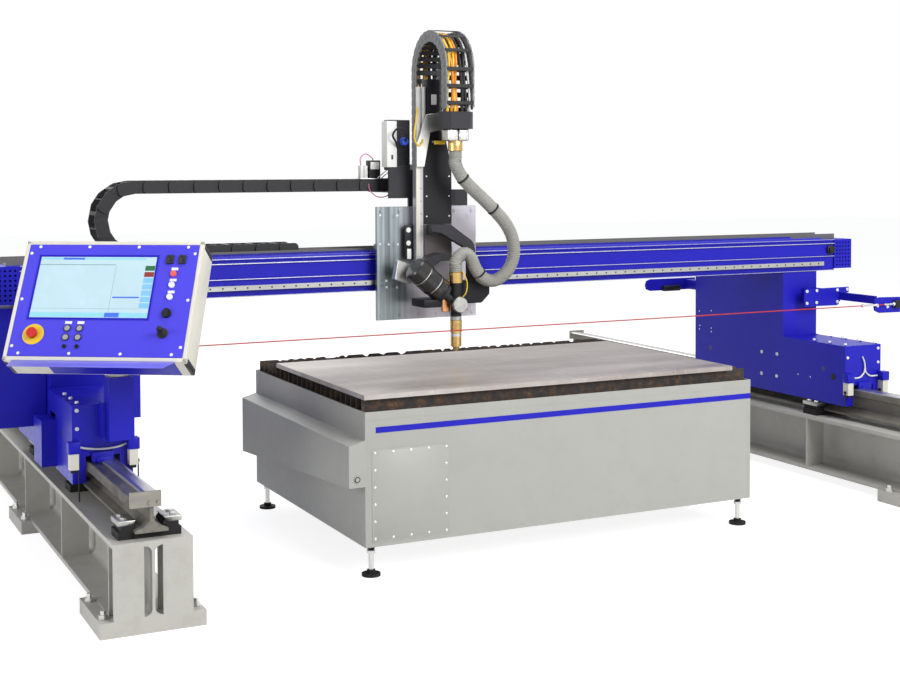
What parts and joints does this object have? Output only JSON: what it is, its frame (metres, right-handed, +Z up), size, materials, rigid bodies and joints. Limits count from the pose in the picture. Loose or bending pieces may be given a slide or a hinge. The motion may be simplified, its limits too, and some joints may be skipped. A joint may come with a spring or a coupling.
{
  "type": "cnc plasma cutting table",
  "caption": "Gantry plasma cutting machine: a bridge on two floor tracks carries a tilting torch over a slatted table, with an operator panel on a swivel post.",
  "frame": {"origin": "on the floor under the middle of the machine", "axes": "+X across the machine along the cross beam, +Y along the tracks away from the operator, +Z up"},
  "size_m": [4.9444, 3.7, 2.3888],
  "materials": {
    "beam_paint": "satin paint",
    "rail_steel": "worn rolled steel",
    "clip_black": "black clamps",
    "plate_grey": "light grey paint",
    "rubber_black": "matte",
    "rusty_steel": "burnt and rusty",
    "mill_scale": "mill scale",
    "machine_blue": "satin blue paint",
    "bright_steel": "machined",
    "dark_sheet": "dark grey",
    "chain_plastic": "moulded",
    "pale_chain_plastic": "moulded",
    "cord_red": "sheathed steel rope",
    "plate_aluminium": "milled",
    "black_paint": "satin black",
    "hose_grey": "ribbed grey",
    "torch_brass": "turned",
    "cream_paint": "cream paint",
    "face_grey": "grey",
    "stop_red": "gloss",
    "control_black": "matte"
  },
  "bodies": {
    "base": {"track_beams": "beam_paint", "track_feet": "beam_paint", "track_rails": "rail_steel", "rail_clips": "clip_black", "track_racks": "rail_steel", "end_stops": "plate_grey", "table_casing": "plate_grey", "extraction_duct": "plate_grey", "table_feet": "rubber_black", "slat_combs": "rusty_steel", "slats": "rusty_steel", "work_plate": "mill_scale"},
    "gantry": {"cross_beam": "machine_blue", "beam_end_covers": "machine_blue", "cross_rails": "bright_steel", "chain_tray": "dark_sheet", "cross_chain_lower": "chain_plastic", "gantry_columns": "machine_blue", "drive_housings": "machine_blue", "drive_motors": "machine_blue", "control_cabinet": "machine_blue", "cord_arms": "machine_blue", "trip_cord": "cord_red", "limit_switches": "machine_blue", "panel_post": "machine_blue"},
    "left_front_wheel": {"left_front_wheel": "bright_steel"},
    "left_rear_wheel": {"left_rear_wheel": "bright_steel"},
    "right_front_wheel": {"right_front_wheel": "bright_steel"},
    "right_rear_wheel": {"right_rear_wheel": "bright_steel"},
    "left_drive_pinion": {"left_drive_pinion": "bright_steel"},
    "right_drive_pinion": {"right_drive_pinion": "bright_steel"},
    "left_outer_feeler": {"left_outer_feeler": "bright_steel"},
    "left_inner_feeler": {"left_inner_feeler": "bright_steel"},
    "right_outer_feeler": {"right_outer_feeler": "bright_steel"},
    "right_inner_feeler": {"right_inner_feeler": "bright_steel"},
    "carriage": {"carriage_plate": "plate_aluminium", "carriage_boxes": "black_paint", "cross_chain_upper": "chain_plastic", "lift_chain": "pale_chain_plastic"},
    "cross_pinion": {"cross_pinion": "bright_steel"},
    "chain_bend": {"cross_chain_bend": "chain_plastic"},
    "lift": {"lift_beam": "plate_aluminium", "lift_cover": "black_paint", "cable_gland": "dark_sheet", "head_arm": "dark_sheet", "bevel_drive": "black_paint", "torch_hose": "hose_grey"},
    "torch": {"torch_body": "torch_brass", "torch_nozzle": "torch_brass"},
    "panel": {"panel_case": "cream_paint", "panel_face": "face_grey"},
    "emergency_stop": {"emergency_stop": "stop_red"},
    "joystick": {"joystick": "control_black"},
    "mode_knob": {"mode_knob": "control_black"},
    "upper_left_button": {"upper_left_button": "face_grey"},
    "upper_right_button": {"upper_right_button": "face_grey"},
    "lower_left_button": {"lower_left_button": "face_grey"},
    "lower_right_button": {"lower_right_button": "face_grey"},
    "left_toggle": {"left_toggle": "control_black"},
    "right_toggle": {"right_toggle": "control_black"}
  },
  "joints": [
    {"name": "gantry_travel", "type": "slide", "parent": "base", "child": "gantry", "axis": [0, 1, 0], "range_m": [-0.62, 1.5]},
    {"name": "left_front_wheel_turn", "type": "hinge", "parent": "gantry", "child": "left_front_wheel", "pos_m": [-2.025, -0.96, 0.6093], "axis": [1, 0, 0], "continuous": true},
    {"name": "left_rear_wheel_turn", "type": "hinge", "parent": "gantry", "child": "left_rear_wheel", "pos_m": [-2.025, 0.06, 0.6093], "axis": [1, 0, 0], "continuous": true},
    {"name": "left_drive_pinion_turn", "type": "hinge", "parent": "gantry", "child": "left_drive_pinion", "pos_m": [-2.1435, -0.72, 0.49], "axis": [0, 0, 1], "continuous": true},
    {"name": "left_outer_feeler_swing", "type": "hinge", "parent": "gantry", "child": "left_outer_feeler", "pos_m": [-2.152, -1.153, 0.504], "axis": [1, 0, 0], "range_deg": [-20, 10], "stiffness_Nm_per_rad": 0.2},
    {"name": "left_inner_feeler_swing", "type": "hinge", "parent": "gantry", "child": "left_inner_feeler", "pos_m": [-1.908, -1.153, 0.504], "axis": [1, 0, 0], "range_deg": [-20, 20], "stiffness_Nm_per_rad": 0.2},
    {"name": "right_front_wheel_turn", "type": "hinge", "parent": "gantry", "child": "right_front_wheel", "pos_m": [2.025, -0.96, 0.6093], "axis": [1, 0, 0], "continuous": true},
    {"name": "right_rear_wheel_turn", "type": "hinge", "parent": "gantry", "child": "right_rear_wheel", "pos_m": [2.025, 0.06, 0.6093], "axis": [1, 0, 0], "continuous": true},
    {"name": "right_drive_pinion_turn", "type": "hinge", "parent": "gantry", "child": "right_drive_pinion", "pos_m": [2.1435, -0.72, 0.49], "axis": [0, 0, 1], "continuous": true},
    {"name": "right_outer_feeler_swing", "type": "hinge", "parent": "gantry", "child": "right_outer_feeler", "pos_m": [2.152, -1.153, 0.504], "axis": [1, 0, 0], "range_deg": [-20, 10], "stiffness_Nm_per_rad": 0.2},
    {"name": "right_inner_feeler_swing", "type": "hinge", "parent": "gantry", "child": "right_inner_feeler", "pos_m": [1.908, -1.153, 0.504], "axis": [1, 0, 0], "range_deg": [-20, 20], "stiffness_Nm_per_rad": 0.2},
    {"name": "cross_travel", "type": "slide", "parent": "gantry", "child": "carriage", "axis": [1, 0, 0], "range_m": [-0.75, 1.35], "deforming": ["cross_chain_upper", "cross_chain_lower"]},
    {"name": "cross_pinion_turn", "type": "hinge", "parent": "carriage", "child": "cross_pinion", "pos_m": [-0.15, -0.5875, 1.344], "axis": [0, 1, 0], "continuous": true},
    {"name": "chain_run", "type": "slide", "parent": "carriage", "child": "chain_bend", "axis": [1, 0, 0], "range_m": [-0.675, 0.375]},
    {"name": "lift_travel", "type": "slide", "parent": "carriage", "child": "lift", "axis": [0, 0, 1], "range_m": [-0.06, 0.15], "deforming": ["lift_chain"]},
    {"name": "torch_tilt", "type": "hinge", "parent": "lift", "child": "torch", "pos_m": [-0.293, -0.89, 1.061], "axis": [0.766, 0, -0.6428], "range_deg": [0, 60], "deforming": ["torch_hose"]},
    {"name": "panel_swivel", "type": "hinge", "parent": "gantry", "child": "panel", "pos_m": [-1.998, -1.2, 0.87], "axis": [0, 0, 1], "range_deg": [-30, 30]},
    {"name": "emergency_stop_press", "type": "slide", "parent": "panel", "child": "emergency_stop", "axis": [0.464, 0.7228, -0.512], "range_m": [0, 0.005], "stiffness_N_per_m": 400},
    {"name": "joystick_lean", "type": "hinge", "parent": "panel", "child": "joystick", "pos_m": [-1.89207, -1.50499, 1.06959], "axis": [0.8415, -0.5402, 0], "range_deg": [-15, 15], "stiffness_Nm_per_rad": 0.3},
    {"name": "mode_knob_turn", "type": "hinge", "parent": "panel", "child": "mode_knob", "pos_m": [-1.86576, -1.46956, 1.14346], "axis": [-0.464, -0.7228, 0.512], "range_deg": [-135, 135]},
    {"name": "upper_left_button_press", "type": "slide", "parent": "panel", "child": "upper_left_button", "axis": [0.464, 0.7228, -0.512], "range_m": [0, 0.003], "stiffness_N_per_m": 250},
    {"name": "upper_right_button_press", "type": "slide", "parent": "panel", "child": "upper_right_button", "axis": [0.464, 0.7228, -0.512], "range_m": [0, 0.003], "stiffness_N_per_m": 250},
    {"name": "lower_left_button_press", "type": "slide", "parent": "panel", "child": "lower_left_button", "axis": [0.464, 0.7228, -0.512], "range_m": [0, 0.003], "stiffness_N_per_m": 250},
    {"name": "lower_right_button_press", "type": "slide", "parent": "panel", "child": "lower_right_button", "axis": [0.464, 0.7228, -0.512], "range_m": [0, 0.003], "stiffness_N_per_m": 250},
    {"name": "left_toggle_flip", "type": "hinge", "parent": "panel", "child": "left_toggle", "pos_m": [-2.2377, -1.31961, 1.01805], "axis": [0.8415, -0.5402, 0], "range_deg": [-15, 15]},
    {"name": "right_toggle_flip", "type": "hinge", "parent": "panel", "child": "right_toggle", "pos_m": [-2.19478, -1.34716, 1.01805], "axis": [0.8415, -0.5402, 0], "range_deg": [-15, 15]}
  ],
  "couplings": [
    {"joint": "left_front_wheel_turn", "follows": "gantry_travel", "rad_per_m": -11.111},
    {"joint": "left_rear_wheel_turn", "follows": "gantry_travel", "rad_per_m": -11.111},
    {"joint": "left_drive_pinion_turn", "follows": "gantry_travel", "rad_per_m": -25},
    {"joint": "right_front_wheel_turn", "follows": "gantry_travel", "rad_per_m": -11.111},
    {"joint": "right_rear_wheel_turn", "follows": "gantry_travel", "rad_per_m": -11.111},
    {"joint": "right_drive_pinion_turn", "follows": "gantry_travel", "rad_per_m": 25},
    {"joint": "cross_pinion_turn", "follows": "cross_travel", "rad_per_m": 31.25},
    {"joint": "chain_run", "follows": "cross_travel", "ratio": -0.5}
  ]
}
